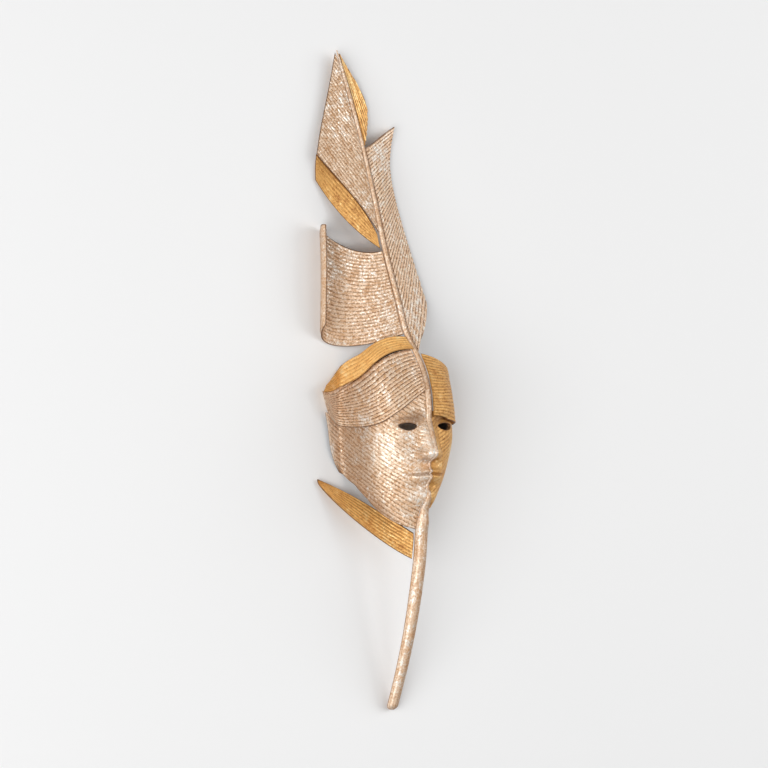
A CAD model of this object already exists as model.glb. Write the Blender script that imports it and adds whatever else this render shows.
import math

import bpy
import numpy as np
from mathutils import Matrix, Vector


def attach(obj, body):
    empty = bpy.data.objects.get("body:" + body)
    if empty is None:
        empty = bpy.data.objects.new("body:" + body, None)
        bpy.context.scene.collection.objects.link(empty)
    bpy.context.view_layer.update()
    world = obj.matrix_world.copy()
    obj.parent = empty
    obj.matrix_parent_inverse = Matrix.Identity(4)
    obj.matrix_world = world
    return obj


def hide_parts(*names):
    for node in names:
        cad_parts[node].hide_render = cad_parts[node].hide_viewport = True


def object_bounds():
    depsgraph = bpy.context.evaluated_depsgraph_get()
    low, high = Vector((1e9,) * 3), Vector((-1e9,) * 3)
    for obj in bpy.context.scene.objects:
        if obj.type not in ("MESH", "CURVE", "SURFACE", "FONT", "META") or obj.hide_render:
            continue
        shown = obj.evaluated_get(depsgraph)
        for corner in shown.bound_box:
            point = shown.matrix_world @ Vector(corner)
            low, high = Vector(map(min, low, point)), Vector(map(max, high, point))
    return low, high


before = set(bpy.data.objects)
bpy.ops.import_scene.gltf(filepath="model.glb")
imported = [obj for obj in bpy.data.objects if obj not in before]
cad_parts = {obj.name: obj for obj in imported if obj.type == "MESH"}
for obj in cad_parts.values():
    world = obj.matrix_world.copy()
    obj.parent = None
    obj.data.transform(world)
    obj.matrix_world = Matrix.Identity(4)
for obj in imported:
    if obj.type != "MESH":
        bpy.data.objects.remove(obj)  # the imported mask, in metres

cadLow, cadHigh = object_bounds()
quillEnd, featherTip, leftReach = -429, 431, -121  # the drawing's lowest, highest and leftmost places
unit = (cadHigh.y - cadLow.y) / (featherTip - quillEnd)  # the drawing's unit, close to a millimetre
zeroPoint = np.array([cadLow.x - leftReach * unit, cadLow.y - quillEnd * unit, 0])
wall = {"face": 0.004 / unit, "vane": 0.003 / unit}
layerStart = 0.5  # the lowest layer's height over the head
layerStep = wall["vane"] + 0.002 / unit  # from one layer of the feather to the next
glueGap = 0.0003 / unit

# the shaft from the quill's end to the tip: along, across, height
shaftKeys = [
    (quillEnd, -3, 6.05), (-375, -0.5, 27), (-323, 0, 46), (-271, 0, 61), (-231, 0, 70), (-192, 0, 75),
    (-170, 0, 80), (-150, 0, 86), (-120, 0, 91), (-80, 0, 92), (-40, 0, 93), (-15, 0, 90),
    (0, 0, 85), (20, 0, 75), (38, -5, 68.5), (60, -14.5, 63), (106, -24, 55), (171, -38, 46),
    (236, -49, 38), (307, -62, 29), (366, -75, 21), (featherTip, -91, 12),
]
# along, half width, crown, depth
sectionKeys = [
    (-165, 6.0, 5.0, 0.0), (-150, 3.6, 2.6, 0.0), (-132, 2.2, 1.7, 0.0), (-120, 2.0, 1.6, 0.0),
    (-90, 2.5, 1.7, 0.0), (-40, 4.2, 2.6, 0.0), (-2, 4.6, 3.0, 0.0), (20, 4.4, 3.2, 2.0),
    (60, 4.0, 3.4, 3.0), (171, 3.5, 3.0, 2.6), (307, 2.7, 2.4, 1.8), (420, 1.5, 1.4, 1.2),
    (featherTip, 0.8, 0.8, 0.8),
]
# along, and the head's half width on that side of the shaft
leftHalfKeys = [
    (-205, 26), (-190, 37), (-177, 48), (-163, 57), (-150, 63), (-135, 68), (-121, 71), (-100, 73),
    (-65, 76), (-20, 76), (0, 74), (20, 71), (38, 61), (50, 48), (64, 34),
]
rightHalfKeys = [
    (-175, 12), (-165, 19), (-155, 30), (-143, 42), (-128, 52), (-110, 61), (-90, 67), (-65, 69),
    (-45, 67), (-20, 63), (0, 61), (18, 60), (30, 55), (42, 44),
]
quill = {"full": -185, "radius": 8.6, "taper": 0.85, "taperLength": 150, "roundEnd": 6, "roundShare": 0.8}
head = {
    "squareness": 2.4, "knee": 0.97, "brimSlope": 0.35, "brimBlend": 34, "brimEase": 12, "valleyRise": 2.2,
    "footCut": 0.6, "hollow": 0.4, "faceEnd": -165, "faceFade": 25,
}
# three equal thirds from the hairline to the chin, five eyes across
face = {
    "brow": -40, "noseBase": -100, "chin": -160, "eyeLine": -56.2, "eyeSpacing": 29, "mouth": -120,
    "mouthHalf": 24, "eyeHalfWidth": 13.5, "eyeHalfHeight": 4.75,
}


def through(keys):  # a smooth curve through keys, level beyond both ends
    table = np.array(keys, float)
    table = table[np.argsort(table[:, 0])]
    places, values = table[:, 0], table[:, 1:]
    slopes = np.gradient(values, places, axis=0)

    def at(place):
        place = np.clip(np.asarray(place, float), places[0], places[-1])
        i = np.clip(np.searchsorted(places, place, side="right") - 1, 0, len(places) - 2)
        span = (places[i + 1] - places[i])[..., None]
        f = (place - places[i])[..., None] / span
        value = (
            values[i] * (1 + 2 * f) * (1 - f) ** 2
            + slopes[i] * span * f * (1 - f) ** 2
            + values[i + 1] * f**2 * (3 - 2 * f)
            - slopes[i + 1] * span * f**2 * (1 - f)
        )
        return value[..., 0] if value.shape[-1] == 1 else value

    return at


shaftLine, shaftSection = through(shaftKeys), through(sectionKeys)
leftHalf, rightHalf = through(leftHalfKeys), through(rightHalfKeys)


def smooth(low, high, x):
    f = np.clip((np.asarray(x, float) - low) / (high - low), 0, 1)
    return f * f * (3 - 2 * f)


def sectionAt(y):  # the shaft's half width, crown and depth
    y = np.asarray(y, float)
    section = shaftSection(np.maximum(y, head["faceEnd"]))
    taper = quill["taper"] + (1 - quill["taper"]) * np.clip((y - quillEnd) / quill["taperLength"], 0, 1)
    share = smooth(-head["faceEnd"], -quill["full"], -y)[..., None]
    return section * (1 - share) + np.full(3, quill["radius"]) * taper[..., None] * share


def bump(side, y, cx, cy, rx, ry):
    return np.exp(-(((side - cx) / rx) ** 2) - ((y - cy) / ry) ** 2)


def spots(side, y, table):  # a sum of soft spots, each with its strength, its place and its reach both ways
    return sum(strength * bump(side, y, *spot) for strength, *spot in table.values())


noseProfile = through([
    (-110, 0), (-105, 0.8), (-102.5, 4), (-100.5, 8.8), (-98, 14.4), (-95, 18.2), (-91.5, 19.6),
    (-87, 18.4), (-80, 15), (-72, 11.2), (-62, 6.4), (-54, 2.6), (-48, 0),
])


def noseHeight(side, y):
    down = np.clip((face["brow"] - 10 - y) / 45, 0, 1)
    return noseProfile(y) * np.exp(-np.abs(side / (6.5 + 4 * down)) ** 2.3)


def lipParting(side):
    return face["mouth"] + 0.8 * np.cos(side / 6)


def lipHeight(side, y):
    taper = np.clip(1 - (side / face["mouthHalf"]) ** 2, 0, 1)
    parting = lipParting(side)
    bow = 1 - 0.9 * np.exp(-((side / 3) ** 2))
    upper = 3.4 * taper**0.6 * np.exp(-(((y - parting - 3.4) / (2.4 + bow)) ** 2))
    lower = 4.0 * taper**0.8 * np.exp(-(((y - parting + 4.6) / 4) ** 2))
    width = np.clip(1.15 - side / face["mouthHalf"], 0, 1) ** 0.5
    crease = 2.9 * width * np.exp(-(((y - parting) / 1.1) ** 2))
    return upper + lower - crease


def eyeArcs(side):  # the upper and lower edge of the opening at a distance from the face's middle
    q = np.clip(1 - ((side - face["eyeSpacing"]) / face["eyeHalfWidth"]) ** 2, 0, 1) ** 0.8
    centre = face["eyeLine"] - 1
    return centre + 0.75 * face["eyeHalfHeight"] * q, centre - 1.25 * face["eyeHalfHeight"] * q


def lidHeight(side, y):  # a heavy upper lid with its crease, and a thin lower one
    upper, lower = eyeArcs(side)
    near = np.exp(-(((side - face["eyeSpacing"]) / 14.5) ** 4))
    upperRim = 0.9 * np.exp(-(((y - upper - 1.0) / 1.3) ** 2))
    lowerRim = 0.7 * np.exp(-(((y - lower + 1.2) / 1.3) ** 2))
    creaseLine = upper + 6.2 + 0.02 * (side - face["eyeSpacing"])
    crease = 1.5 * np.exp(-(((y - creaseLine) / 1.5) ** 2))
    return near * (upperRim + lowerRim - crease)


# height, place across and along the face, reach across and along
softForms = {
    "brow": (2.4, 24, face["brow"] + 1, 22, 8),
    "socket": (-9.5, face["eyeSpacing"] - 3, face["eyeLine"] + 4, 19, 13),
    "eyeball": (8.0, face["eyeSpacing"], face["eyeLine"] - 1, 15, 10),
    "cheekbone": (3.5, 45, face["eyeLine"] - 18, 20, 16),
    "cheekHollow": (-2.5, 44, face["noseBase"] - 10, 17, 20),
    "lipMound": (4.5, 0, face["mouth"] + 2, 26, 17),
    "chinFold": (-3.4, 0, face["mouth"] - 16, 17, 5),
    "chin": (6.0, 0, face["chin"] + 10, 16, 12),
    "noseWing": (7.5, 12, face["noseBase"] + 6.5, 5.2, 5.8),
    "wingCrease": (-1.1, 17.5, face["noseBase"] + 8, 1.8, 6),
    "nostril": (-4.5, 6.5, face["noseBase"] - 0.5, 3.2, 2.4),
    "mouthCorner": (-1.4, face["mouthHalf"], face["mouth"], 4, 4),
    "lipFurrow": (-0.9, 0, face["mouth"] + 12, 3, 6),
}


def featureHeight(side, y):
    return spots(side, y, softForms) + noseHeight(side, y) + lipHeight(side, y) + lidHeight(side, y)


def arch(u):  # the dome's section, straight past its knee
    n, knee = head["squareness"], head["knee"]
    inside = np.sqrt(np.clip(1 - np.minimum(u, knee) ** n, 0, 1))
    atKnee = math.sqrt(1 - knee**n)
    slope = -n * knee ** (n - 1) / (2 * atKnee)
    return np.where(u < knee, inside, atKnee + slope * (u - knee))


def headHeight(x, y, lift=0.0, features=1.0, raised=1.0):
    off = np.asarray(x, float) - shaftLine(y)[..., 0]
    flat = sectionAt(y)[..., 0]
    half = np.where(off < 0, leftHalf(y), rightHalf(y)) + lift
    across = np.clip(np.abs(off) - flat, 0, None)
    dome = (shaftLine(y)[..., 1] + lift) * arch(across / (half - flat))
    overFace = np.clip((np.asarray(y, float) - head["faceEnd"]) / head["faceFade"] + 1, 0, 1)
    relief = featureHeight(across, y) * overFace * np.clip(2 - 2 * across / half, 0, 1)
    dome = dome + features * np.where(relief > 0, raised * relief, relief)
    valley = wall["face"] - head["footCut"] - head["valleyRise"] + lift * math.hypot(1, head["brimSlope"])
    beside, ease = -off - half + lift, head["brimEase"]
    eased = np.clip(beside + ease, 0, 2 * ease) ** 2 / (4 * ease)
    brim = valley + head["brimSlope"] * (eased + np.clip(beside - ease, 0, None))
    share = np.clip(0.5 + 0.5 * (dome - brim) / head["brimBlend"], 0, 1)
    blended = np.maximum(brim + head["brimBlend"] * share**2, np.where(share < 1, 0, dome))
    return np.where(off < 0, blended, dome)


def headNormal(x, y):
    step = 0.5
    alongX = headHeight(x + step, y, features=0) - headHeight(x - step, y, features=0)
    alongY = headHeight(x, y + step, features=0) - headHeight(x, y - step, features=0)
    normal = np.stack([-alongX, -alongY, np.full_like(alongX, 2 * step)], axis=-1)
    return normal / np.linalg.norm(normal, axis=-1, keepdims=True)


def ridgeHeight(y):
    y = np.asarray(y, float)
    return headHeight(shaftLine(y)[..., 0], y)


def shaftSeat(y):
    slope = ridgeHeight(y + 0.5) - ridgeHeight(y - 0.5)
    return ridgeHeight(y) + glueGap * np.hypot(1, slope)


def evenSteps(line, count):
    lengths = np.r_[0, np.cumsum(np.linalg.norm(np.diff(line, axis=0), axis=1))]
    wanted = np.linspace(0, lengths[-1], count)
    return np.stack([np.interp(wanted, lengths, line[:, k]) for k in range(3)], axis=1)


def downTo(hem, line):  # the part of a barb before it first drops below the hem's height
    below = np.nonzero(line[:, 2] < hem)[0]
    if len(below) == 0:
        return line
    k = below[0]
    share = (line[k - 1, 2] - hem) / (line[k - 1, 2] - line[k, 2])
    return np.vstack([line[:k], line[k - 1] + share * (line[k] - line[k - 1])])


def barbLine(root, leave, arrive, tip, drape, steps=160):
    f = np.linspace(0, 1, steps)[:, None]
    hold, pull = root + leave, tip + arrive
    line = (1 - f) ** 3 * root + 3 * (1 - f) ** 2 * f * hold + 3 * (1 - f) * f**2 * pull + f**3 * tip
    if drape is not None:
        line[:, 2] = headHeight(line[:, 0], line[:, 1], drape)
    return line


def blendKeys(keys, share):
    places = np.linspace(0, 1, len(keys))
    return np.array([np.interp(share, places, [key[k] for key in keys]) for k in range(3)])


def wallLean(line, y, side):  # how far the wall under a root leans towards the shaft
    ahead, behind = shaftLine(y + 1), shaftLine(y - 1)
    normal = np.cross(line[1] - line[0], [ahead[0] - behind[0], 2, ahead[1] - behind[1]]) * side
    return max(side * normal[0] / np.linalg.norm(normal), 0)


def vaneGrid(vane, roots, columns):  # rows of barbs, each from the shaft outwards
    side, layers, drape = vane["side"], vane.get("layers"), None
    top = 0 if layers else wall["vane"]
    places = np.linspace(0, 1, len(vane["tips"]))
    tips = through([(place, x, y, z + top) for place, (x, y, z) in zip(places, vane["tips"])])
    rows = []
    for share in (roots - roots[0]) / (roots[-1] - roots[0]):
        y = roots[0] + share * (roots[-1] - roots[0])
        turn = share ** vane.get("turn", 1)
        leave, arrive = blendKeys(vane["leave"], turn), blendKeys(vane["arrive"], turn)
        if layers:
            drape = layers[0] + share * (layers[1] - layers[0])
        beside = sectionAt(np.array(y))[0] + glueGap + vane.get("inset", 0)
        root = np.array([shaftLine(y)[0] + side * beside, y, shaftSeat(y) + vane.get("seat", 0.8)])
        line = barbLine(root, leave, arrive, tips(share), drape)
        if vane.get("leans", True):
            root[0] += side * wallLean(evenSteps(line, 9), y, side) * wall["vane"]
            line = barbLine(root, leave, arrive, tips(share), drape)
        rows.append(evenSteps(downTo(vane.get("hem", 0), line), columns))
    return np.array(rows)


def onLayers(first, last):  # heights over the head at the first and the last barb
    return layerStart + first * layerStep, layerStart + last * layerStep


left, right = -1, 1
silver, gold = "silver_leaf", "gold_leaf"

# the roots, tips and barb directions are the drawing of the solids
# barbs sets how fine the mesh is and, where neither rakes nor fan is given, how many ridges are combed
# rakes is the combing's slant along the shaft, its ridges a pitch apart
# fan is how many ridges a slope of one holds, and comb is how deep the ridges are
vanes = {
    "top_left_vane": dict(
        side=left, slot=silver, barbs=34, columns=96, comb=0.85, roots=(194, 418), pitch=3.45,
        rakes=[(194, 52), (260, 52), (340, 52), (418, 54)], tone=0.97,
        tips=[(-121, 295, 9), (-116, 321, 8), (-110, 346, 7), (-101.5, 385, 8), (-93.8, 428, 10)],
        leave=[(-24, 40, -6), (-1.4, 3, -0.5)], arrive=[(28, -34, 9), (1.2, -3, 0.5)],
    ),
    "lower_gold_slip": dict(
        side=left, slot=gold, barbs=7, columns=64, comb=0.35, roots=(173, 192), seat=-2.6, tone=0.90,
        tips=[(-118, 262, 1.5), (-118.5, 279, 1.5), (-117, 296, 1.5)],
        leave=[(-26, 20, -18), (-15, 42, -11)], arrive=[(24, -38, 2), (26, -33, 8)],
    ),
    "top_right_vane": dict(
        side=right, slot=gold, barbs=11, columns=96, comb=1.7, roots=(307, 416), fan=26,
        tone=1.22, burnish=0.3,
        tips=[(-39, 344, 3), (-41, 362, 3), (-54, 385, 5), (-71, 407, 7), (-86.2, 427, 9.5)],
        leave=[(6, 14, -6), (1, 3, -0.5)], arrive=[(-4, -14, 6), (-1, -3, 0.5)],
    ),
    "right_vane": dict(
        side=right, slot=silver, barbs=34, columns=110, comb=1.5, roots=(40, 304), pitch=4.0,
        rakes=[(40, 84), (87, 81), (137, 76), (191, 66), (234, 54), (286, 42), (304, 39)],
        tone=1.23, burnish=0.15, tips=[
            (50, 106, 5), (32, 155, 4), (17, 198, 3), (4, 238, 3), (-4, 275, 3), (-4, 303, 4), (0, 333, 7),
        ],
        leave=[(12, 22, -12), (24, 10, -8)], arrive=[(-8, -32, 22), (-22, -10, 4)],
    ),
    "curled_vane": dict(
        side=left, slot=silver, barbs=27, columns=90, comb=0.8, roots=(61, 170), tone=1.06,
        tips=[(-115.2, 75, 24), (-116.7, 110, 28), (-116.7, 158, 29), (-117.7, 204, 28)],
        leave=[(-28, -20, -52), (-30, -12, -43)], arrive=[(-2, -40, -49), (2, 4, -49.5)],
    ),
    "crown_band": dict(
        side=left, slot=gold, barbs=6, columns=110, comb=0.75, roots=(42.5, 59), layers=onLayers(1.5, 0.4),
        tone=1.2, burnish=0.6,
        tips=[(-117, -13, 0), (-114, -9, 0), (-110, -5, 0)],
        leave=[(-68, 5, 0), (-37, 4, 0)], arrive=[(55, -7, 0), (62, 51, 0)],
    ),
    "brow_band": dict(
        side=left, slot=silver, barbs=14, columns=110, comb=1.3, roots=(-12, 41.5), layers=onLayers(1, 0.1),
        inset=0.8, tuck=5, tone=1.14,
        tips=[(-106, -39, 0), (-111, -24, 0), (-113.5, -12, 0)],
        leave=[(-45, -22, 0), (-73, -8, 0)], arrive=[(36, -50, 0), (51, -23, 0)],
    ),
    "right_brow_panel": dict(
        side=right, slot=gold, barbs=21, columns=70, comb=0.85, roots=(-45, 37), layers=onLayers(1, 1),
        hem=6, tone=0.87,
        tips=[(78, -58, 0), (76, -20, 0), (74, -2, 0), (68, 6, 0)],
        leave=[(24, 0, 0), (26, -4, 0)], arrive=[(-14, 0, 0), (-16, 13, 0)],
    ),
    "jaw_vane": dict(
        side=left, slot=gold, barbs=8, columns=84, comb=0.8, roots=(-231, -197), seat=-2,
        tips=[(-116, -131, 2), (-116, -129, 2.5), (-115.5, -127, 3)],
        leave=[(-34, 18, -16), (-20, 24, -35)], arrive=[(20, -28, 6), (50, -16, -2)],
    ),
}
faceShell = {
    "roots": (-192, -2), "barbs": 36, "rowsPerBarb": 8, "rightFrom": 41, "rightTo": 233, "rightAlong": 500,
    "leftColumns": 100, "rightColumns": 76,
    "pitch": 5.35, "rake": 0.42, "rakeGrowth": 0.0020, "acrossShare": 0.85, "dropShare": 0.53,
    "leftTone": 1.14, "rightTone": 0.86,
    "left": dict(
        side=left, seat=0, layers=(0, 0), leans=False, turn=0.5,
        tips=[(-68, -134, 0), (-79, -118, 0), (-88, -104, 0), (-95, -86, 0), (-99, -62, 0), (-104, -40, 0)],
        leave=[(-26, 3, 0), (-36, -14, 0)], arrive=[(16, -34, 0), (34, -14, 0), (38, -24, 0)],
    ),
    "right": dict(
        side=right, seat=0, layers=(0, 0), leans=False,
        tips=[(16, -160, 0), (36, -146, 0), (58, -120, 0), (74, -92, 0), (78, -65, 0), (78, -38, 0)],
        leave=[(4, 1, 0), (26, 2, 0)], arrive=[(-4, -2, 0), (-14, -2, 0)],
    ),
}
combing = {
    "rowsPerBarb": 8, "depth": 0.62, "wander": 0.16, "swell": 0.30, "seed": 4.0, "driftScale": 22.0,
    "lumpAlong": 0.05, "lumpPerBarb": 3.7, "fineScale": 260.0, "fineMiddle": 0.62, "fineShare": 0.3,
}


class Val:  # a socket that takes part in sums
    def __init__(self, tree, socket):
        self.tree, self.socket = tree, socket

    def math(self, operation, *others, swap=False):
        node = self.tree.nodes.new("ShaderNodeMath")
        node.operation = operation
        values = [self, *others]
        if swap:
            values.reverse()
        for slot, value in zip(node.inputs, values):
            plug(self.tree, slot, value)
        return Val(self.tree, node.outputs[0])

    def __add__(self, other):
        return self.math("ADD", other)

    def __radd__(self, other):
        return self.math("ADD", other)

    def __sub__(self, other):
        return self.math("SUBTRACT", other)

    def __rsub__(self, other):
        return self.math("SUBTRACT", other, swap=True)

    def __mul__(self, other):
        return self.math("MULTIPLY", other)

    def __rmul__(self, other):
        return self.math("MULTIPLY", other)

    def __pow__(self, other):
        return self.math("POWER", other)


def plug(tree, socket, value):
    if isinstance(value, Val):
        tree.links.new(value.socket, socket)
    else:
        socket.default_value = value


def add(tree, kind, settings=None, inputs=None, out=0):  # any node: its settings first, then its sockets
    node = tree.nodes.new(kind)
    for name, value in (settings or {}).items():
        setattr(node, name, value)
    for name, value in (inputs or {}).items():
        plug(tree, node.inputs[name], value)
    return Val(tree, node.outputs[out])


def ramp(value, low, high):  # 0 below low, 1 above high, soft between
    return add(value.tree, "ShaderNodeMapRange", {"interpolation_type": "SMOOTHSTEP", "clamp": True},
               {"Value": value, "From Min": low, "From Max": high})


def mixColour(share, first, second):
    return add(share.tree, "ShaderNodeMix", {"data_type": "RGBA", "clamp_factor": True},
               {0: share, 6: first, 7: second}, out=2)


def noise(vector, scale, detail, rough):
    return add(vector.tree, "ShaderNodeTexNoise", None,
               {"Vector": vector, "Scale": scale, "Detail": detail, "Roughness": rough})


def ridgeOf(phase):  # 0 in the grooves between two barbs, 1 on a barb's back
    return 1.0 - (phase.math("FRACT") * 2.0 - 1.0).math("ABSOLUTE") ** 2.0


# the ground in the grooves up to the palest leaf, the shade and the rim; then how metallic the leaf is,
# the sum of the noises from which it covers the ground, and each noise's share in that sum
leafLooks = {
    silver: dict(
        groove=(0.17, 0.080, 0.034, 1), worn=(0.53, 0.295, 0.145, 1), leaf=(0.73, 0.53, 0.37, 1),
        bright=(0.92, 0.81, 0.68, 1), pale=(0.90, 0.86, 0.81, 1), shade=(0.42, 0.33, 0.25, 1),
        rim=(0.16, 0.08, 0.04, 1),
        metal=0.50, cover=0.50, fleck=0.38, scratch=0.22, streak=0.20, patch=0.20,
    ),
    gold: dict(
        groove=(0.25, 0.095, 0.02, 1), worn=(0.50, 0.20, 0.042, 1), leaf=(0.77, 0.41, 0.12, 1),
        bright=(0.90, 0.58, 0.23, 1), pale=(0.92, 0.66, 0.33, 1), shade=(0.30, 0.14, 0.035, 1),
        rim=(0.18, 0.07, 0.02, 1),
        metal=0.55, cover=0.475, fleck=0.14, scratch=0.26, streak=0.34, patch=0.26,
    ),
}
liningColour = (0.030, 0.022, 0.018, 1)
leafGloss = {"roughness": 0.56, "specular": 0.35, "bump": 0.5, "bumpHeight": 0.0007}
grainNoises = {  # scale, detail, roughness
    "fleck": (380.0, 3.0, 0.75), "patch": (95.0, 4.0, 0.62), "cloud": (17.0, 3.0, 0.5),
    "grain": (1500.0, 2.0, 0.6),
}
combedNoises = {  # per unit along a barb, per barb across, offset, detail, roughness
    "streak": (0.16, 1.7, 0.0, 4.0, 0.62), "scratch": (0.55, 5.0, 3.0, 2.0, 0.6),
    "swept": (0.13, 0.22, 7.0, 3.0, 0.6),
}
wear = {  # where each kind of wear starts and where it is full
    "thick": (0.49, 0.58), "lit": (0.53, 0.61), "dull": (0.43, 0.56), "cover": (-0.07, 0.03),
    "backs": (0.0, 0.68), "rim": (0.9, 2.3), "lining": (0.80, 0.98),
}


def leafNoises(tree, along, phase):
    place = add(tree, "ShaderNodeTexCoord", out=3)
    made = {key: noise(place, *look) for key, look in grainNoises.items()}
    for key, (perUnit, perBarb, offset, detail, rough) in combedNoises.items():
        spot = add(tree, "ShaderNodeCombineXYZ", None,
                   {"X": along * perUnit, "Y": phase * perBarb, "Z": offset})
        made[key] = noise(spot, 1.0, detail, rough)
    return made


def leafMaterial(name, look):
    made = bpy.data.materials.new(name)
    made.use_nodes = True
    tree = made.node_tree
    shader = tree.nodes["Principled BSDF"]
    phase, along, edge, comb, inside, patina, tone, burnish = (
        add(tree, "ShaderNodeAttribute", {"attribute_name": key}, out=2)
        for key in ("phase", "along", "edge", "comb", "lining", "patina", "tone", "burnish")
    )
    noises = leafNoises(tree, along, phase)
    fleck, patch, cloud = noises["fleck"], noises["patch"], noises["cloud"]
    streak, scratch, swept = noises["streak"], noises["scratch"], noises["swept"]
    ridge = ridgeOf(phase)
    rub = fleck * look["fleck"] + scratch * look["scratch"] + streak * look["streak"] + patch * look["patch"]
    rub = rub + (swept - 0.5) * 0.16
    thick = ramp(patch * 0.35 + cloud * 0.35 + swept * 0.30, *wear["thick"])
    covered = ramp(rub + burnish * 0.03, *(look["cover"] + limit for limit in wear["cover"]))
    lit = ramp(rub + (cloud - 0.5) * 0.10 + ridge * comb * 0.02 + burnish * 0.05, *wear["lit"])
    dull = ramp(patch * 0.6 + cloud * 0.4 - fleck * 0.15, *wear["dull"])
    ragged = ridge + (streak - 0.5) * 1.3 + (fleck - 0.5) * 1.5 + (scratch - 0.5) * 1.2
    inGroove = (1.0 - ramp(ragged, *wear["backs"])) * comb * (1.0 - thick * 0.55)
    atRim = 1.0 - ramp(edge + fleck * 1.2, *wear["rim"])
    lined = ramp(inside, *wear["lining"])

    fresh = mixColour(thick * 0.75, look["bright"], look["pale"])
    colour = mixColour(covered, look["worn"], look["leaf"])
    colour = mixColour(dull * 0.35, colour, look["shade"])
    colour = mixColour(lit * (0.70 + thick * 0.30), colour, fresh)
    colour = mixColour(burnish * (0.28 + thick * 0.40), colour, fresh)
    colour = mixColour(inGroove * (0.80 - burnish * 0.40), colour, look["groove"])
    colour = mixColour(patina * (0.45 + (1.0 - fleck) * 0.6), colour, look["groove"])
    colour = mixColour(atRim * (0.92 - burnish * 0.75), colour, look["rim"])
    colour = add(tree, "ShaderNodeVectorMath", {"operation": "SCALE"}, {0: colour, "Scale": tone})
    colour = mixColour(lined, colour, liningColour)
    metal = (covered * 0.6 + lit * 0.4) * look["metal"] * (1.0 - inGroove * 0.8) * (1.0 - lined)
    roughness = leafGloss["roughness"] - lit * 0.10 - covered * 0.08 + inGroove * 0.2 + lined * 0.3
    relief = fleck * 0.7 + noises["grain"] * 0.25 + streak * 0.5 + ridge * comb * 0.4
    surface = add(tree, "ShaderNodeBump", None,
                  {"Strength": leafGloss["bump"], "Distance": leafGloss["bumpHeight"], "Height": relief})
    plug(tree, shader.inputs["Base Color"], colour)
    plug(tree, shader.inputs["Metallic"], metal)
    plug(tree, shader.inputs["Roughness"], roughness)
    plug(tree, shader.inputs["Normal"], surface)
    shader.inputs["Specular IOR Level"].default_value = leafGloss["specular"]
    return made


def combTree():  # cuts the combed barbs into a sheet, along its barb attribute
    tree = bpy.data.node_groups.new("combBarbs", "GeometryNodeTree")
    kinds = dict(Geometry="Geometry", Depth="Float", Wander="Float", Swell="Float", Seed="Float",
                 Leaf="Material", Gilding="Material")
    for name, kind in kinds.items():
        tree.interface.new_socket(name=name, in_out="INPUT", socket_type="NodeSocket" + kind)
    tree.interface.new_socket(name="Geometry", in_out="OUTPUT", socket_type="NodeSocketGeometry")
    entry = tree.nodes.new("NodeGroupInput")
    given = {name: Val(tree, entry.outputs[name]) for name in kinds}
    named = lambda key: add(tree, "GeometryNodeInputNamedAttribute", {"data_type": "FLOAT"}, {"Name": key})
    barb, along, comb = named("barb"), named("along"), named("comb")
    spot = add(tree, "GeometryNodeInputPosition")
    drift = add(tree, "ShaderNodeTexNoise", {"noise_dimensions": "4D"},
                {"Vector": spot, "W": given["Seed"], "Scale": combing["driftScale"], "Detail": 2.0})
    phase = barb + (drift - 0.5) * given["Wander"] * 4.0
    whichBarb = phase.math("FLOOR")
    lumpPlace = add(tree, "ShaderNodeCombineXYZ", None, {
        "X": along * combing["lumpAlong"], "Y": whichBarb * combing["lumpPerBarb"], "Z": given["Seed"],
    })
    lump = add(tree, "ShaderNodeTexNoise", None, {"Vector": lumpPlace, "Scale": 1.0, "Detail": 3.0})
    fine = add(tree, "ShaderNodeTexNoise", None,
               {"Vector": spot, "Scale": combing["fineScale"], "Detail": 3.0})
    depth = given["Depth"] * comb * (1.0 - given["Swell"] + lump * given["Swell"] * 2.0)
    isCombed = comb.math("GREATER_THAN", 0.001)
    rough = (fine - combing["fineMiddle"]) * given["Depth"] * isCombed * combing["fineShare"]
    sink = (ridgeOf(phase) - 1.0) * depth + rough
    normal = add(tree, "GeometryNodeInputNormal")
    shift = add(tree, "ShaderNodeVectorMath", {"operation": "SCALE"}, {0: normal, "Scale": sink})
    moved = add(tree, "GeometryNodeSetPosition", None, {"Geometry": given["Geometry"], "Offset": shift})
    kept = add(tree, "GeometryNodeStoreNamedAttribute", {"data_type": "FLOAT", "domain": "POINT"},
               {"Geometry": moved, "Name": "phase", "Value": phase})
    whole = add(tree, "GeometryNodeRealizeInstances", None, {"Geometry": kept})
    leafed = add(tree, "GeometryNodeSetMaterial", None, {"Geometry": whole, "Material": given["Leaf"]})
    gilt = named("gilt").math("GREATER_THAN", 0.5)
    gilded = add(tree, "GeometryNodeSetMaterial", None,
                 {"Geometry": leafed, "Selection": gilt, "Material": given["Gilding"]})
    leave = tree.nodes.new("NodeGroupOutput")
    tree.links.new(gilded.socket, leave.inputs["Geometry"])
    return tree


def gridQuads(rows, columns, start, side):
    i, j = np.meshgrid(np.arange(rows - 1), np.arange(columns - 1), indexing="ij")
    a = (start + i * columns + j).ravel()
    quads = np.stack([a, a + 1, a + columns + 1, a + columns], axis=1)
    return quads if side > 0 else quads[:, ::-1]


def gridNormals(grid, side):
    across = np.gradient(grid, axis=0)
    outward = np.gradient(grid, axis=1)
    normal = np.cross(outward, across) * side
    return normal / (np.linalg.norm(normal, axis=2, keepdims=True) + 1e-9)


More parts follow.
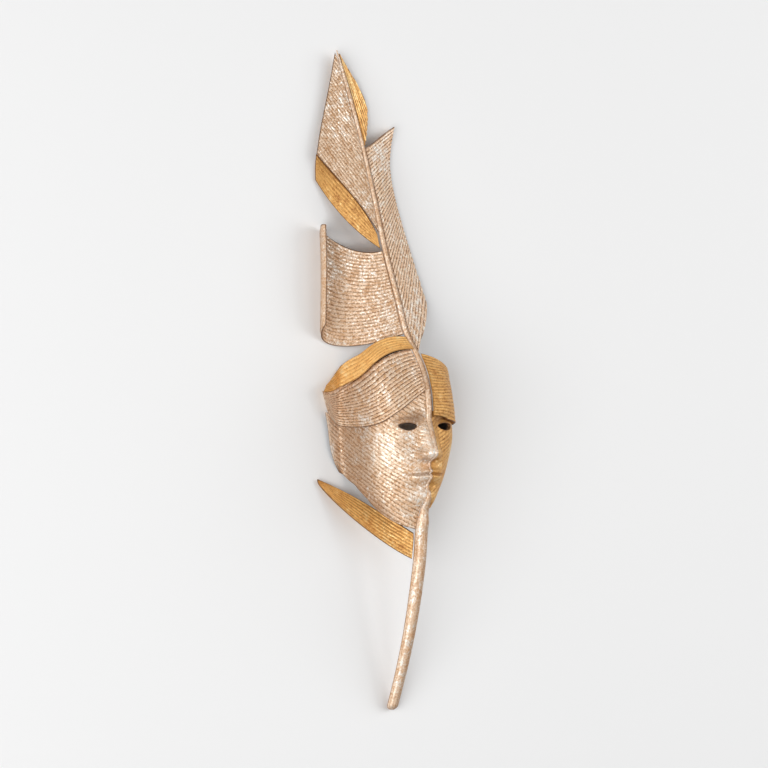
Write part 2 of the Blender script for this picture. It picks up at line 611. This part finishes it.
def edgeDistance(grid, tipOnly=False):  # to the first barb, the last barb or the tips
    steps = np.linalg.norm(np.diff(grid, axis=1), axis=2)
    toTip = np.cumsum(steps[:, ::-1], axis=1)[:, ::-1]
    distance = np.concatenate([toTip, np.zeros((len(grid), 1))], axis=1)
    if not tipOnly:
        crossing = np.linalg.norm(np.diff(grid, axis=0), axis=2)
        fromFirst = np.concatenate([np.zeros((1, grid.shape[1])), np.cumsum(crossing, axis=0)])
        toLast = fromFirst[-1] - fromFirst
        distance = np.minimum(distance, np.minimum(fromFirst, toLast))
    return distance


def alongDistance(grid):
    steps = np.linalg.norm(np.diff(grid, axis=1), axis=2)
    return np.concatenate([np.zeros((len(grid), 1)), np.cumsum(steps, axis=1)], axis=1)


def shellMesh(name, outer, inner, quads, values, lined=False):  # closes a wall between two like sheets
    count = len(outer)
    edges = np.stack([quads, np.roll(quads, -1, axis=1)], axis=-1).reshape(-1, 2)
    keys, back = edges @ [2 * count, 1], edges @ [1, 2 * count]
    rim = edges[~np.isin(keys, back)]
    rimQuads = np.stack([rim[:, 1], rim[:, 0], rim[:, 0] + count, rim[:, 1] + count], axis=1)
    allQuads = np.concatenate([quads, quads[:, ::-1] + count, rimQuads])
    inner = inner.copy()
    inner[:, 2] = np.maximum(inner[:, 2], 0)
    points = np.concatenate([outer, inner])
    used = np.unique(allQuads)
    renumber = np.full(len(points), -1)
    renumber[used] = np.arange(len(used))
    mesh = bpy.data.meshes.new(name)
    mesh.from_pydata((points[used] * unit + zeroPoint).tolist(), [], renumber[allQuads].tolist())
    mesh.update()
    outerOnly = np.r_[np.ones(count), np.zeros(count)]
    for key, column in values.items():
        both = np.r_[column, column]
        if key == "comb":
            both = both * outerOnly
        if key == "lining" and lined:
            both = 1 - outerOnly
        layer = mesh.attributes.new(key, "FLOAT", "POINT")
        layer.data.foreach_set("value", both[used].astype(np.float32))
    ends = np.empty(len(mesh.edges) * 2, dtype=np.int32)
    mesh.edges.foreach_get("vertices", ends)
    ends = np.sort(ends.reshape(-1, 2), axis=1) @ [len(points), 1]
    rimEnds = np.concatenate([rim, rim + count])
    rimKeys = np.sort(renumber[rimEnds], axis=1) @ [len(points), 1]
    mesh.shade_smooth()
    sharp = mesh.attributes.new("sharp_edge", "BOOLEAN", "EDGE")
    sharp.data.foreach_set("value", np.isin(ends, rimKeys))
    return mesh


boxEase = {"reach": 0.001, "share": 0.25}  # how the highest millimetre is pressed together


def keepInBox(mesh):  # the finer surface stays within the solids' own box
    points = np.empty(len(mesh.vertices) * 3, dtype=np.float32)
    mesh.vertices.foreach_get("co", points)
    points = points.reshape(-1, 3)
    points[:, 2] -= np.maximum(points[:, 2] - (cadHigh.z - boxEase["reach"]), 0) * boxEase["share"]
    points = np.clip(points, np.array(cadLow), np.array(cadHigh)).astype(np.float32)
    mesh.vertices.foreach_set("co", points.ravel())
    mesh.update()


def combed(name, mesh, tree, materials, slot):  # runs the tree and keeps the result as a plain mesh
    source = bpy.data.objects.new(name + "Source", mesh)
    bpy.context.scene.collection.objects.link(source)
    modifier = source.modifiers.new("comb", "NODES")
    modifier.node_group = tree
    wanted = {
        "Depth": combing["depth"] * unit, "Wander": combing["wander"], "Swell": combing["swell"],
        "Seed": combing["seed"], "Leaf": materials[slot], "Gilding": materials[gold],
    }
    for item in tree.interface.items_tree:
        if item.in_out == "INPUT" and item.name in wanted:
            modifier[item.identifier] = wanted[item.name]
    graph = bpy.context.evaluated_depsgraph_get()
    result = bpy.data.meshes.new_from_object(source.evaluated_get(graph), depsgraph=graph)
    bpy.data.objects.remove(source)
    keepInBox(result)
    piece = bpy.data.objects.new(name, result)
    bpy.context.scene.collection.objects.link(piece)
    return piece


def settle(piece, slot, *nodes):
    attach(piece, "root")
    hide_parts(*nodes)


sheetEdge = {"roundReach": 1.3, "roundDrop": 0.55, "thinReach": 7, "thinShare": 0.55}


def roundedEdge(distance):  # sinks the surface softly at a sheet's edge
    return -sheetEdge["roundDrop"] * np.clip(1 - distance / sheetEdge["roundReach"], 0, 1) ** 2


fanFoot, fanSpread = 307, 40  # the lowest root in the fan, and how far past the tip its barbs would meet


def fanBarbs(grid, count):  # barbs that run up beside the shaft and close in towards the tip
    tip, lower = shaftLine(featherTip)[0], shaftLine(fanFoot)[0]
    up = np.array([tip - lower, featherTip - fanFoot]) / math.hypot(tip - lower, featherTip - fanFoot)
    across = (grid[..., 0] - tip) * up[1] - (grid[..., 1] - featherTip) * up[0]
    down = -(grid[..., 0] - tip) * up[0] - (grid[..., 1] - featherTip) * up[1]
    return count * across / (down + fanSpread)


def towardsView(x, z):  # how far across the picture a point lies
    tilt = math.radians(studio["viewTilt"])
    return x * math.cos(tilt) + z * math.sin(tilt)


def rakedBarbs(grid, vane):  # straight barbs whose rake changes along the shaft, an even pitch apart
    places = np.linspace(vane["roots"][0] - 60, vane["roots"][1] + 60, 800)
    rakes = np.radians(np.interp(places, *zip(*vane["rakes"])))
    lines = np.stack([towardsView(*shaftLine(places).T), places], axis=1)
    directions = np.stack([vane["side"] * np.cos(rakes), np.sin(rakes)], axis=1)
    steps = np.gradient(lines, axis=0)
    spacing = np.abs(directions[:, 0] * steps[:, 1] - directions[:, 1] * steps[:, 0])
    count = np.cumsum(spacing) / vane["pitch"]
    u, v = towardsView(grid[..., 0], grid[..., 2]), grid[..., 1]
    low, high = np.full(u.shape, places[0]), np.full(u.shape, places[-1])
    for _ in range(24):
        middle = (low + high) / 2
        at = [np.interp(middle, places, column) for column in (*lines.T, *directions.T)]
        above = vane["side"] * (at[2] * (v - at[1]) - at[3] * (u - at[0])) > 0
        low, high = np.where(above, middle, low), np.where(above, high, middle)
    return np.interp(low, places, count)


def vanePatina(name, grid):  # dark wax left in the hollows
    x, y, z = grid[..., 0], grid[..., 1], grid[..., 2]
    if name == "curled_vane":
        return 0.6 * smooth(104, 114, -x) * (1 - smooth(14, 24, z))
    if name == "brow_band":
        return 0.5 * valleyPatina(x, y)
    if name == "crown_band":  # browner towards both ends
        return 0.35 * smooth(70, 108, -x) + 0.35 * smooth(-34, -12, x)
    if name == "lower_gold_slip":  # a dark line where it passes under the vane above
        rows, columns = np.linspace(0, 1, grid.shape[0]), np.linspace(0, 1, grid.shape[1])
        return 0.9 * smooth(0.86, 0.97, rows)[:, None] * smooth(0.35, 0.8, columns)
    return np.zeros(x.shape)


def vaneBurnish(name, vane, grid):
    plain = np.full(grid.shape[:2], vane.get("burnish", 0.0))
    return flareBurnish(grid[..., 0], grid[..., 1]) if name == "brow_band" else plain


def flareBurnish(x, y):  # the flared edge is rubbed bright
    return 0.7 * smooth(7, 17, shaftLine(y)[..., 0] - x - leftHalf(y))


def valleyPatina(x, y):  # in the fold between the cheek and its flared edge
    beside = shaftLine(y)[..., 0] - x - leftHalf(y)
    return 0.7 * smooth(-18, -6, beside) * (1 - smooth(1, 9, beside))


tuck = {
    "step": 1.1, "tipFade": 20, "least": 0.02, "drop": 0.5, "dropRows": 3, "darkFrom": 18, "darkFull": 40,
}


def tuckedUnder(grid, extra):  # carries the last barb on under the piece above it, a step at a time
    last, away = grid[-1], grid[-1] - grid[-combing["rowsPerBarb"] - 1]
    away = away / (np.linalg.norm(away[:, :2], axis=1, keepdims=True) + 1e-9) * tuck["step"]
    away *= np.clip((last[:, :1] - last[-1, 0]) / tuck["tipFade"], tuck["least"], 1)
    counts = np.arange(1, extra + 1)
    rows = last + away * counts[:, None, None]
    sunk = tuck["drop"] * np.minimum(1, counts / tuck["dropRows"])
    rows[..., 2] = headHeight(rows[..., 0], rows[..., 1], layerStart) - sunk[:, None]
    return np.concatenate([grid, rows])


def vaneBarbs(vane, grid, steps):  # which barb each point is on
    if "fan" in vane:
        return fanBarbs(grid, vane["fan"])
    if "rakes" in vane:
        return rakedBarbs(grid, vane)
    return (steps * vane["barbs"])[:, None] * np.ones(vane["columns"])


def makeVane(name, vane, tree, materials):
    rows, extra = vane["barbs"] * combing["rowsPerBarb"] + 1, vane.get("tuck", 0)
    low, high = vane["roots"]
    grid = vaneGrid(vane, np.linspace(low, high, rows), vane["columns"])
    if extra:
        grid = tuckedUnder(grid, extra)
    steps = np.arange(rows + extra) / (rows - 1)
    normals = gridNormals(grid, vane["side"])
    edge = edgeDistance(grid)
    thin = sheetEdge["thinShare"]
    thickness = wall["vane"] * (thin + (1 - thin) * smooth(0, sheetEdge["thinReach"], edge))
    inner = grid - normals * thickness[..., None]
    outer = grid + normals * roundedEdge(edge)[..., None]
    tucked = (np.arange(rows + extra) >= rows)[:, None]
    tucked = tucked * smooth(tuck["darkFrom"], tuck["darkFull"], grid[..., 0] - grid[-1, -1, 0])
    values = {
        "barb": vaneBarbs(vane, grid, steps), "along": alongDistance(grid), "edge": edge,
        "comb": np.full(edge.shape, vane["comb"]), "gilt": np.full(edge.shape, float(vane["slot"] == gold)),
        "tone": np.full(edge.shape, vane.get("tone", 1.0)), "patina": vanePatina(name, grid),
        "burnish": vaneBurnish(name, vane, grid), "lining": tucked,
    }
    values = {key: column.ravel() for key, column in values.items()}
    quads = gridQuads(rows + extra, vane["columns"], 0, vane["side"])
    mesh = shellMesh(name, outer.reshape(-1, 3), inner.reshape(-1, 3), quads, values)
    piece = combed(name + "Leafed", mesh, tree, materials, vane["slot"])
    settle(piece, vane["slot"], name)
    print("vane", name, len(piece.data.polygons), "faces")


# strength, place across and along the face, reach across and along
calmSpots = {  # where the combing fades out
    "nose": (1, 0, -90, 17, 24), "lips": (1, 0, face["mouth"], 26, 13),
    "lids": (0.9, face["eyeSpacing"], face["eyeLine"], 19, 10), "chin": (0.6, 0, face["chin"] + 10, 12, 10),
}
waxSpots = {  # where dark wax is left
    "socket": (0.9, 16, face["eyeLine"] + 9, 11, 8), "underLip": (0.35, 0, face["mouth"] - 11, 13, 4),
    "nostril": (0.7, 7, face["noseBase"] - 2, 4.5, 2.6), "wing": (0.45, 17, face["noseBase"] + 6, 2.2, 6),
}
rubbedSpots = {  # where the relief stands proud
    "cheek": (0.85, 50, -92, 17, 24), "bridge": (0.6, 5, -68, 8, 18),
    "noseTip": (0.6, 4, face["noseBase"] + 8, 6, 6), "chin": (0.5, 12, face["chin"] + 12, 14, 9),
    "lowerLip": (0.4, 12, face["mouth"] - 6, 8, 3),
}


def fromMiddle(points):
    return np.abs(points[:, 0] - shaftLine(points[:, 1])[:, 0])


def faceComb(points):
    return 1.0 - 0.93 * np.clip(spots(fromMiddle(points), points[:, 1], calmSpots) * 1.25, 0, 1)


def facePatina(points):
    side, y = fromMiddle(points), points[:, 1]
    upper = eyeArcs(side)[0]
    near = np.exp(-(((side - face["eyeSpacing"]) / 15) ** 4))
    crease = 0.8 * near * np.exp(-(((y - upper - 6.2) / 1.8) ** 2))
    lash = near * np.exp(-(((y - upper - 0.6) / 1.2) ** 2))
    parting = np.exp(-(((y - lipParting(side)) / 1.3) ** 2))
    mouthLine = 0.7 * (side < face["mouthHalf"] + 2) * parting
    hollows = np.clip(spots(side, y, waxSpots) + crease + lash + mouthLine, 0, 1)
    return np.maximum(hollows, valleyPatina(points[:, 0], y))


def faceBurnish(points):
    rubbed = spots(fromMiddle(points), points[:, 1], rubbedSpots)
    return np.clip(rubbed + flareBurnish(points[:, 0], points[:, 1]), 0, 1)


def faceBarbs(points):  # barbs that leave the shaft slantwise and steepen towards the cheek's edge
    x, y = points[:, 0], points[:, 1]
    middle = shaftLine(y)
    drop = middle[:, 1] - headHeight(x, y, features=0)
    outwards = faceShell["acrossShare"] * np.abs(x - middle[:, 0]) + faceShell["dropShare"] * drop
    rise = faceShell["rake"] * outwards + faceShell["rakeGrowth"] * outwards**2
    return (y - rise) / faceShell["pitch"]


farOff = 99.0  # an edge distance past any wear


def openEyes(points, quads):  # drops the quads inside the eye openings and draws their edge onto the outline
    side, y = fromMiddle(points), points[:, 1]
    upper, lower = eyeArcs(side)
    inside = (np.abs(side - face["eyeSpacing"]) < face["eyeHalfWidth"]) & (y < upper) & (y > lower)
    kept = quads[~inside[quads].all(axis=1)]
    onEdge = np.zeros(len(points), bool)
    onEdge[np.unique(kept)] = True
    onEdge &= inside
    nearer = np.where(upper - y < y - lower, upper, lower)
    points[onEdge, 1] = nearer[onEdge]
    gap = np.minimum(np.abs(y - upper), np.abs(y - lower))
    reach = np.abs(side - face["eyeSpacing"]) < face["eyeHalfWidth"]
    return kept, np.where(reach & ~inside, gap, farOff) * ~onEdge


def faceSheets():  # the two halves and the strip between them: points, quads and what each point knows
    columns = faceShell["leftColumns"], faceShell["rightColumns"]
    roots = np.linspace(*faceShell["roots"], faceShell["barbs"] * faceShell["rowsPerBarb"] + 1)
    first, last = faceShell["rightFrom"], faceShell["rightTo"]
    leftGrid = vaneGrid(faceShell["left"], roots, columns[0])
    rightGrid = vaneGrid(faceShell["right"], roots[first : last + 1], columns[1])
    middle = np.stack([shaftLine(roots[first:])[:, 0], roots[first:], ridgeHeight(roots[first:])], axis=1)
    points = np.concatenate([leftGrid.reshape(-1, 3), rightGrid.reshape(-1, 3), middle])
    rightStart = len(roots) * columns[0]
    middleStart = rightStart + len(rightGrid) * columns[1]
    k = np.arange(len(middle) - 1)
    a, m = (first + k) * columns[0], middleStart + k
    strips = [np.stack([a, m, m + 1, a + columns[0]], axis=1)]
    k = np.arange(len(rightGrid) - 1)
    m, r = middleStart + k, rightStart + k * columns[1]
    strips.append(np.stack([m, r, r + columns[1], m + 1], axis=1))
    halves = [
        gridQuads(len(roots), columns[0], 0, left), gridQuads(len(rightGrid), columns[1], rightStart, right),
    ]
    quads, eyeGap = openEyes(points, np.concatenate(halves + strips))
    inMiddle = np.zeros(len(middle))
    rims = edgeDistance(leftGrid).ravel(), edgeDistance(rightGrid, tipOnly=True).ravel(), inMiddle + farOff
    barbs = alongDistance(leftGrid), alongDistance(rightGrid) + faceShell["rightAlong"]
    values = {
        "edge": np.minimum(np.concatenate(rims), eyeGap + 0.3),
        "along": np.concatenate([*(distance.ravel() for distance in barbs), inMiddle]),
        "gilt": np.concatenate([np.zeros(rightStart), np.ones(middleStart - rightStart), inMiddle]),
    }
    return points, quads, values


def makeFace(tree, materials):
    points, quads, values = faceSheets()
    x, y = points[:, 0], points[:, 1]
    points[:, 2] = headHeight(x, y)
    normals = headNormal(x, y)
    hollow = np.stack([x, y, headHeight(x, y, raised=head["hollow"])], axis=1)
    values |= {
        "barb": faceBarbs(points), "comb": faceComb(points), "lining": np.zeros(len(points)),
        "tone": np.where(values["gilt"] > 0.5, faceShell["rightTone"], faceShell["leftTone"]),
        "patina": facePatina(points), "burnish": faceBurnish(points),
    }
    outer = points + normals * roundedEdge(values["edge"])[:, None]
    mesh = shellMesh("face", outer, hollow - normals * wall["face"], quads, values, lined=True)
    piece = combed("faceLeafed", mesh, tree, materials, silver)
    settle(piece, silver, "face")
    print("face", len(piece.data.polygons), "faces")


shaftFinish = {
    "around": 36, "step": 0.9, "flutes": 9, "comb": 0.30, "tone": 1.15, "stretch": 0.3, "cornerAngle": 60,
}
# turns are in degrees round the section, from the right side over the top
# wax has its strength first, then where it starts, is full, fades and is gone
shaftWax = {"right": (0.65, -40, 10, 70, 110), "left": (0.8, 176, 196), "end": (0.7, 8), "most": 0.85}
shaftFacet = {"turn": 134, "reach": 13, "rub": 0.9, "onFace": 0.35, "quillFrom": 195, "quillFull": 260}


def shaftPatina(angles, stations):  # wax along both sides of the shaft and at the quill's end
    turn = np.degrees(angles)
    strength, start, full, fading, gone = shaftWax["right"]
    right = strength * smooth(start, full, turn) * smooth(-gone, -fading, -turn)
    strength, start, full = shaftWax["left"]
    sides = right + strength * smooth(start, full, turn)
    strength, reach = shaftWax["end"]
    end = strength * smooth(-quillEnd - reach, -quillEnd, -stations)
    return np.clip(sides[None] + end[:, None], 0, shaftWax["most"])


def shaftBurnish(angles, stations):  # the facet that catches the hand, brightest on the quill
    facet = np.exp(-(((np.degrees(angles) - shaftFacet["turn"]) / shaftFacet["reach"]) ** 2))
    onQuill = smooth(shaftFacet["quillFrom"], shaftFacet["quillFull"], -stations)
    share = shaftFacet["onFace"] + (1 - shaftFacet["onFace"]) * onQuill
    return shaftFacet["rub"] * facet[None] * share[:, None]


def shaftRings(stations, angles):
    roundEnd = np.clip((stations - quillEnd) / quill["roundEnd"], 0, 1)  # the quill's end is rubbed round
    blunt = 1 - quill["roundShare"] * (1 - roundEnd) ** 2
    section = sectionAt(stations) * np.sqrt(blunt)[:, None]
    rise = np.where(np.sin(angles) >= 0, section[:, 1:2], section[:, 2:3]) * np.sin(angles)
    across = shaftLine(stations)[:, :1] + section[:, :1] * np.cos(angles)
    along = stations[:, None] * np.ones(len(angles))
    return np.stack([across, along, np.maximum(shaftSeat(stations)[:, None] + rise, 0)], axis=2)


def makeShaft(tree, materials):
    around = shaftFinish["around"]
    stations = np.append(np.arange(quillEnd, featherTip, shaftFinish["step"])[:-1], featherTip)
    angles = np.linspace(0, 2 * math.pi, around, endpoint=False)
    points = shaftRings(stations, angles).reshape(-1, 3)
    i, k = np.meshgrid(np.arange(len(stations) - 1), np.arange(around), indexing="ij")
    a, b = (i * around + k).ravel(), (i * around + (k + 1) % around).ravel()
    faces = np.stack([a, a + around, b + around, b], axis=1).tolist()
    faces.append(list(range(around)))
    faces.append([len(points) - 1 - k for k in range(around)])
    mesh = bpy.data.meshes.new("shaft")
    mesh.from_pydata((points * unit + zeroPoint).tolist(), [], faces)
    ends = np.minimum(stations - quillEnd, featherTip - stations) + 1.2
    values = {
        "barb": np.tile(angles / (2 * math.pi) * shaftFinish["flutes"], len(stations)),
        "along": np.repeat(stations, around) * shaftFinish["stretch"], "edge": np.repeat(ends, around),
        "comb": np.full(len(points), shaftFinish["comb"]), "tone": np.full(len(points), shaftFinish["tone"]),
        "patina": shaftPatina(angles, stations).ravel(), "burnish": shaftBurnish(angles, stations).ravel(),
        "gilt": np.zeros(len(points)), "lining": np.zeros(len(points)),
    }
    for key, column in values.items():
        mesh.attributes.new(key, "FLOAT", "POINT").data.foreach_set("value", column.astype(np.float32))
    mesh.shade_smooth()
    mesh.set_sharp_from_angle(angle=math.radians(shaftFinish["cornerAngle"]))
    piece = combed("shaftLeafed", mesh, tree, materials, silver)
    settle(piece, silver, "shaft")
    print("shaft", len(piece.data.polygons), "faces")


studio = {
    "floorSize": 14.0, "floorColour": (0.88, 0.88, 0.88, 1), "sky": 0.16, "viewTilt": 32.0, "distance": 9.0,
    "pictureWidth": 0.998, "centreAcross": -9.1, "centreAlong": -3.2, "centreHeight": 50.0,
}
lamps = {
    "key": {"place": (-4.0, -0.7, 2.9), "size": 3.6, "power": 212},
    "top": {"place": (1.2, 1.2, 4.7), "size": 4.0, "power": 57},
    "side": {"place": (3.7, 0.4, 2.6), "size": 3.4, "power": 96},
}


def makeFloor():
    half = studio["floorSize"] / 2
    corners = [(-half, -half, 0), (half, -half, 0), (half, half, 0), (-half, half, 0)]
    mesh = bpy.data.meshes.new("floor")
    mesh.from_pydata(corners, [], [(0, 1, 2, 3)])
    floor = bpy.data.objects.new("floor", mesh)
    bpy.context.scene.collection.objects.link(floor)
    paint = bpy.data.materials.new("floorPaint")
    paint.use_nodes = True
    shader = paint.node_tree.nodes["Principled BSDF"]
    shader.inputs["Base Color"].default_value = studio["floorColour"]
    shader.inputs["Roughness"].default_value = 0.95
    shader.inputs["Specular IOR Level"].default_value = 0.1
    mesh.materials.append(paint)


def makeLight():
    world = bpy.data.worlds.new("studio")
    world.use_nodes = True
    sky = world.node_tree.nodes["Background"]
    sky.inputs["Color"].default_value = (1, 1, 1, 1)
    sky.inputs["Strength"].default_value = studio["sky"]
    bpy.context.scene.world = world
    bpy.context.scene.view_settings.view_transform = "Standard"
    for name, lamp in lamps.items():
        data = bpy.data.lights.new(name, "AREA")
        data.size, data.energy = lamp["size"], lamp["power"]
        made = bpy.data.objects.new(name, data)
        made.location = lamp["place"]
        made.rotation_euler = (-made.location).to_track_quat("-Z", "Y").to_euler()  # towards the mask
        bpy.context.scene.collection.objects.link(made)


def makeCamera():  # stands to the left of the mask's front, as in the photo
    tilt = math.radians(studio["viewTilt"])
    across = (studio["centreAcross"] - math.sin(tilt) * studio["centreHeight"]) / math.cos(tilt)
    target = np.array([across, studio["centreAlong"], studio["centreHeight"]]) * unit + zeroPoint
    backwards = np.array([-math.sin(tilt), 0, math.cos(tilt)])
    data = bpy.data.cameras.new("camera")
    data.sensor_width = 36
    data.lens = studio["distance"] * data.sensor_width / studio["pictureWidth"]
    camera = bpy.data.objects.new("camera", data)
    camera.location = target + backwards * studio["distance"]
    camera.rotation_euler = (0, -tilt, 0)
    bpy.context.scene.collection.objects.link(camera)
    bpy.context.scene.camera = camera


makeFloor()
makeLight()
makeCamera()
print("studio ready")
materials = {slot: leafMaterial(slot, look) for slot, look in leafLooks.items()}
comb = combTree()
print("leaf materials and comb ready")
makeShaft(comb, materials)
makeFace(comb, materials)
for name, vane in vanes.items():
    makeVane(name, vane, comb, materials)

print("cad box", list(cadLow), list(cadHigh))
